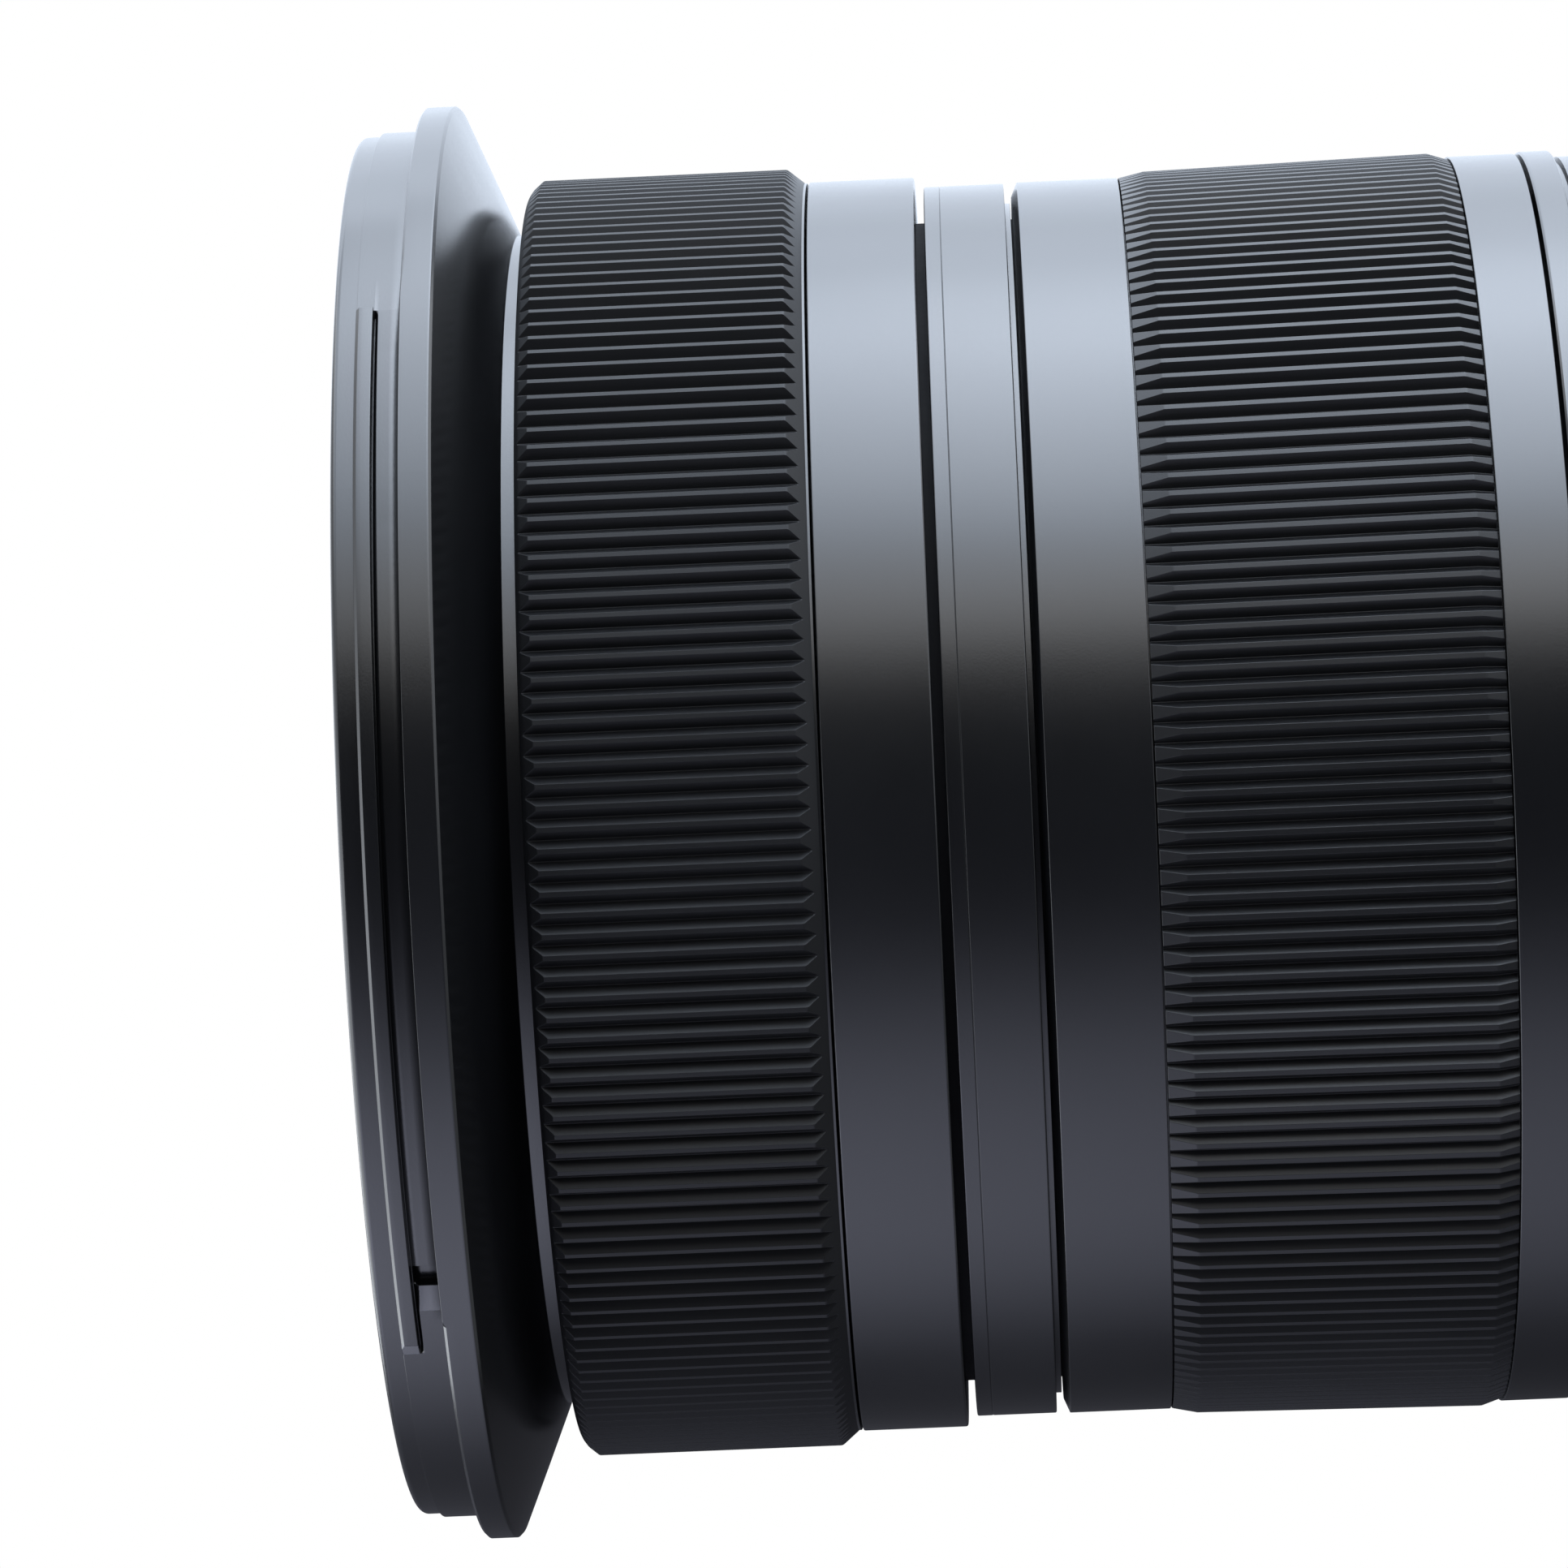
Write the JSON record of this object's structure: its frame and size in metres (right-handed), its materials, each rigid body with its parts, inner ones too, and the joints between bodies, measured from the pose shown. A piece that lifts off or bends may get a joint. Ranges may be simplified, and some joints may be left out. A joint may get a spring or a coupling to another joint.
{
  "type": "camera zoom lens",
  "caption": "Compact wide zoom lens with ribbed focus and zoom rings, an internally moving optical train, an iris, a hood bayonet and a rear bayonet mount.",
  "frame": {"origin": "centre of the rear bayonet's seating face, on the optical axis", "axes": "+Z along the optical axis towards the subject; -Y towards the side with the focus mode switch, on which one hood lug is centred"},
  "size_m": [0.0772, 0.0772, 0.1056],
  "materials": {
    "barrel_black": "satin black anodised aluminium",
    "inner_black": "matt black anodised aluminium",
    "grip_rubber": "ribbed black rubber",
    "black_plastic": "moulded black polycarbonate",
    "mount_metal": "satin chromed brass",
    "screw_steel": "plated steel",
    "rod_steel": "ground steel",
    "follower_brass": "turned brass with a nylon sleeve",
    "contact_gold": "gold plated",
    "seal_rubber": "soft black rubber",
    "coated_glass": "multi-coated optical glass",
    "blade_steel": "blackened spring steel",
    "motor_steel": "drawn steel can",
    "board_green": "solder-masked circuit board"
  },
  "bodies": {
    "root": {"front_barrel": "barrel_black", "front_ring": "black_plastic", "main_barrel": "inner_black", "mid_sleeve": "barrel_black", "trim_ring": "barrel_black", "rear_barrel": "barrel_black", "switch_plate": "black_plastic", "bayonet_mount": "mount_metal", "mount_screws": "screw_steel", "mount_seal": "seal_rubber", "rear_baffle": "black_plastic", "contact_block": "black_plastic", "contact_pins": "contact_gold", "guide_barrel": "inner_black", "rear_cell": "black_plastic", "rear_element": "coated_glass", "rear_inner_element": "coated_glass", "rod_plate": "black_plastic", "guide_rods": "rod_steel", "focus_motor": "motor_steel", "main_board": "board_green", "focus_sensor": "board_green"},
    "focus_ring": {"focus_carrier": "barrel_black", "focus_grip": "grip_rubber"},
    "zoom_ring": {"zoom_carrier": "barrel_black", "zoom_grip": "grip_rubber", "cam_barrel": "inner_black", "zoom_keys": "inner_black", "key_screws": "screw_steel"},
    "first_group": {"g1_cell": "inner_black", "g1_followers": "follower_brass", "front_element": "coated_glass", "second_element": "coated_glass", "third_element": "coated_glass", "front_retainer": "inner_black"},
    "second_group": {"g2_cell": "inner_black", "g2_followers": "follower_brass", "fourth_element": "coated_glass", "fifth_element": "coated_glass"},
    "third_group": {"g3_cell": "inner_black", "g3_followers": "follower_brass", "sixth_element": "coated_glass", "iris_base": "black_plastic", "iris_cover": "black_plastic", "seventh_element": "coated_glass"},
    "iris_drive": {"iris_ring": "blade_steel"},
    "focus_group": {"focus_cell": "black_plastic", "focus_element": "coated_glass"},
    "focus_screw": {"lead_screw": "rod_steel"},
    "mode_switch": {"switch_knob": "black_plastic"},
    "blade_1": {"iris_blade_1": "blade_steel"},
    "blade_2": {"iris_blade_2": "blade_steel"},
    "blade_3": {"iris_blade_3": "blade_steel"},
    "blade_4": {"iris_blade_4": "blade_steel"},
    "blade_5": {"iris_blade_5": "blade_steel"},
    "blade_6": {"iris_blade_6": "blade_steel"},
    "blade_7": {"iris_blade_7": "blade_steel"},
    "blade_8": {"iris_blade_8": "blade_steel"},
    "blade_9": {"iris_blade_9": "blade_steel"}
  },
  "joints": [
    {"name": "focus_ring_turn", "type": "hinge", "parent": "root", "child": "focus_ring", "pos_m": [0, 0, 0.0847], "axis": [0, 0, 1], "continuous": true},
    {"name": "zoom_ring_turn", "type": "hinge", "parent": "root", "child": "zoom_ring", "pos_m": [0, 0, 0.0515], "axis": [0, 0, 1], "range_deg": [0, 75]},
    {"name": "first_group_slide", "type": "slide", "parent": "root", "child": "first_group", "axis": [0, 0, 1], "range_m": [-0.0033, 0]},
    {"name": "second_group_slide", "type": "slide", "parent": "root", "child": "second_group", "axis": [0, 0, 1], "range_m": [0, 0.005]},
    {"name": "third_group_slide", "type": "slide", "parent": "root", "child": "third_group", "axis": [0, 0, 1], "range_m": [0, 0.007]},
    {"name": "focus_group_slide", "type": "slide", "parent": "root", "child": "focus_group", "axis": [0, 0, 1], "range_m": [-0.003, 0.003]},
    {"name": "focus_screw_turn", "type": "hinge", "parent": "root", "child": "focus_screw", "pos_m": [0.02113, 0.0122, 0.0225], "axis": [0, 0, 1], "range_deg": [-1350, 1350]},
    {"name": "iris_ring_turn", "type": "hinge", "parent": "third_group", "child": "iris_drive", "pos_m": [0, 0, 0.0397], "axis": [0, 0, 1], "range_deg": [0, 14]},
    {"name": "mode_switch_slide", "type": "slide", "parent": "root", "child": "mode_switch", "axis": [0, 0, 1], "range_m": [0, 0.0024]},
    {"name": "blade_1_turn", "type": "hinge", "parent": "third_group", "child": "blade_1", "pos_m": [0.02, 0, 0.04033], "axis": [0, 0, 1], "range_deg": [0, 28]},
    {"name": "blade_2_turn", "type": "hinge", "parent": "third_group", "child": "blade_2", "pos_m": [0.01532, 0.01286, 0.04046], "axis": [0, 0, 1], "range_deg": [0, 28]},
    {"name": "blade_3_turn", "type": "hinge", "parent": "third_group", "child": "blade_3", "pos_m": [0.00347, 0.0197, 0.04059], "axis": [0, 0, 1], "range_deg": [0, 28]},
    {"name": "blade_4_turn", "type": "hinge", "parent": "third_group", "child": "blade_4", "pos_m": [-0.01, 0.01732, 0.04072], "axis": [0, 0, 1], "range_deg": [0, 28]},
    {"name": "blade_5_turn", "type": "hinge", "parent": "third_group", "child": "blade_5", "pos_m": [-0.01879, 0.00684, 0.04085], "axis": [0, 0, 1], "range_deg": [0, 28]},
    {"name": "blade_6_turn", "type": "hinge", "parent": "third_group", "child": "blade_6", "pos_m": [-0.01879, -0.00684, 0.04098], "axis": [0, 0, 1], "range_deg": [0, 28]},
    {"name": "blade_7_turn", "type": "hinge", "parent": "third_group", "child": "blade_7", "pos_m": [-0.01, -0.01732, 0.04111], "axis": [0, 0, 1], "range_deg": [0, 28]},
    {"name": "blade_8_turn", "type": "hinge", "parent": "third_group", "child": "blade_8", "pos_m": [0.00347, -0.0197, 0.04124], "axis": [0, 0, 1], "range_deg": [0, 28]},
    {"name": "blade_9_turn", "type": "hinge", "parent": "third_group", "child": "blade_9", "pos_m": [0.01532, -0.01286, 0.04137], "axis": [0, 0, 1], "range_deg": [0, 28]}
  ],
  "couplings": [
    {"joint": "first_group_slide", "follows": "zoom_ring_turn", "m_per_rad": -0.002521},
    {"joint": "second_group_slide", "follows": "zoom_ring_turn", "m_per_rad": 0.0038197},
    {"joint": "third_group_slide", "follows": "zoom_ring_turn", "m_per_rad": 0.0053476},
    {"joint": "focus_screw_turn", "follows": "focus_group_slide", "rad_per_m": 7854},
    {"joint": "blade_1_turn", "follows": "iris_ring_turn", "ratio": 2},
    {"joint": "blade_2_turn", "follows": "iris_ring_turn", "ratio": 2},
    {"joint": "blade_3_turn", "follows": "iris_ring_turn", "ratio": 2},
    {"joint": "blade_4_turn", "follows": "iris_ring_turn", "ratio": 2},
    {"joint": "blade_5_turn", "follows": "iris_ring_turn", "ratio": 2},
    {"joint": "blade_6_turn", "follows": "iris_ring_turn", "ratio": 2},
    {"joint": "blade_7_turn", "follows": "iris_ring_turn", "ratio": 2},
    {"joint": "blade_8_turn", "follows": "iris_ring_turn", "ratio": 2},
    {"joint": "blade_9_turn", "follows": "iris_ring_turn", "ratio": 2}
  ]
}
